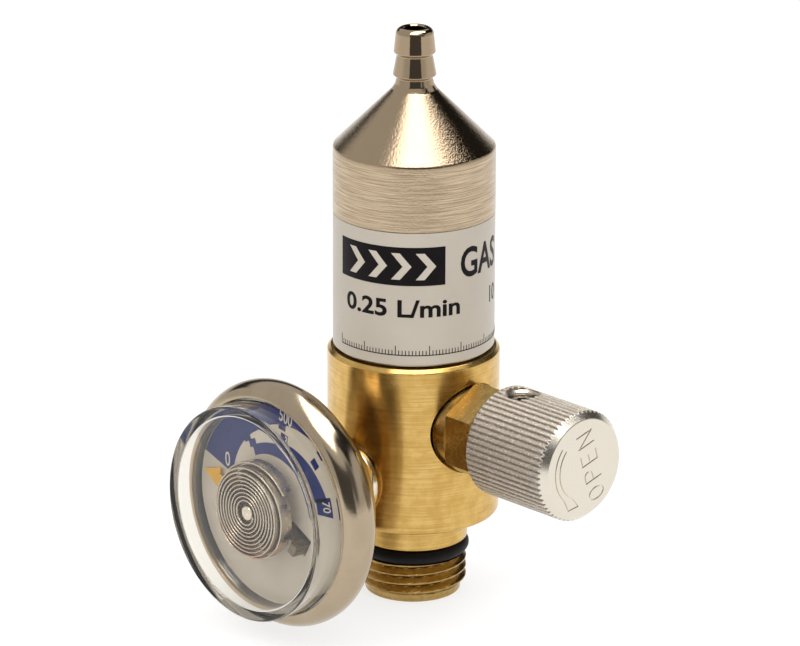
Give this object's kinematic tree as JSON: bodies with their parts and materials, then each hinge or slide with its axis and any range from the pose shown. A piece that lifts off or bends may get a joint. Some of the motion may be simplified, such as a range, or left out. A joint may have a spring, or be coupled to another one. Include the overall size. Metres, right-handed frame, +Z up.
{
  "type": "fixed flow regulator",
  "caption": "Fixed flow gas regulator for a small cylinder: brass body with inlet thread, side pressure gauge, knurled on/off knob and plated bonnet with hose barb.",
  "frame": {"origin": "on the main axis at the face of the inlet nose", "axes": "+Z up the main axis from the inlet to the hose barb, +X along the valve stem to the knob, -Y out through the gauge to its dial"},
  "size_m": [0.0539, 0.0467, 0.0863],
  "materials": {
    "body_brass": "turned, satin, fine vertical bands of reflection",
    "nut_brass": "machined, slightly tarnished",
    "nickel_plate": "bright nickel plate over fine turning marks",
    "plated_steel": "satin nickel plate on drawn steel",
    "label_film": "printed polyester film",
    "knob_aluminium": "coarse straight knurl with a grainy blasted surface",
    "clear_acrylic": "clear moulded acrylic, polished",
    "dial_paint": "pale enamel with blue print",
    "tube_bronze": "flattened bronze tube, dull",
    "pointer_yellow": "yellow enamel",
    "seal_rubber": "smooth black nitrile",
    "spring_steel": "oiled steel",
    "sintered_bronze": "porous sintered bronze",
    "white_nylon": "turned nylon"
  },
  "bodies": {
    "body": {"valve_body": "body_brass", "inlet_o_ring": "seal_rubber", "inlet_filter": "sintered_bronze", "filter_ring": "spring_steel", "bonnet": "nickel_plate", "bonnet_label": "label_film", "flow_orifice": "body_brass", "piston_seat": "white_nylon", "regulating_spring": "spring_steel", "packing_nut": "nut_brass", "stem_packing": "white_nylon", "gauge_socket": "nut_brass", "gauge_washer": "nickel_plate", "gauge_case": "plated_steel", "gauge_lens": "clear_acrylic", "gauge_dial": "dial_paint", "spiral_tube": "tube_bronze", "tube_post": "nut_brass"},
    "plug": {"seat_plug": "white_nylon"},
    "knob": {"valve_stem": "body_brass", "knob": "knob_aluminium", "knob_set_screw": "spring_steel"},
    "piston": {"piston": "body_brass", "piston_head_seal": "seal_rubber", "piston_stem_seal": "seal_rubber"},
    "pointer": {"pointer_hub": "nut_brass", "pointer": "pointer_yellow"}
  },
  "joints": [
    {"name": "stem_travel", "type": "slide", "parent": "body", "child": "plug", "axis": [1, 0, 0], "range_m": [0, 0.000875]},
    {"name": "knob_turn", "type": "hinge", "parent": "plug", "child": "knob", "pos_m": [0.0275, 0, 0.0282], "axis": [1, 0, 0], "range_deg": [0, 450]},
    {"name": "piston_travel", "type": "slide", "parent": "body", "child": "piston", "axis": [0, 0, -1], "range_m": [0, 0.0006], "stiffness_N_per_m": 3000, "springref_m": -0.001, "deforming": ["regulating_spring"]},
    {"name": "pointer_turn", "type": "hinge", "parent": "body", "child": "pointer", "pos_m": [0, -0.03, 0.0199], "axis": [0, 1, 0], "range_deg": [0, 160], "stiffness_Nm_per_rad": 0.0001, "deforming": ["spiral_tube"]}
  ],
  "couplings": [
    {"joint": "knob_turn", "follows": "stem_travel", "rad_per_m": 8976}
  ]
}
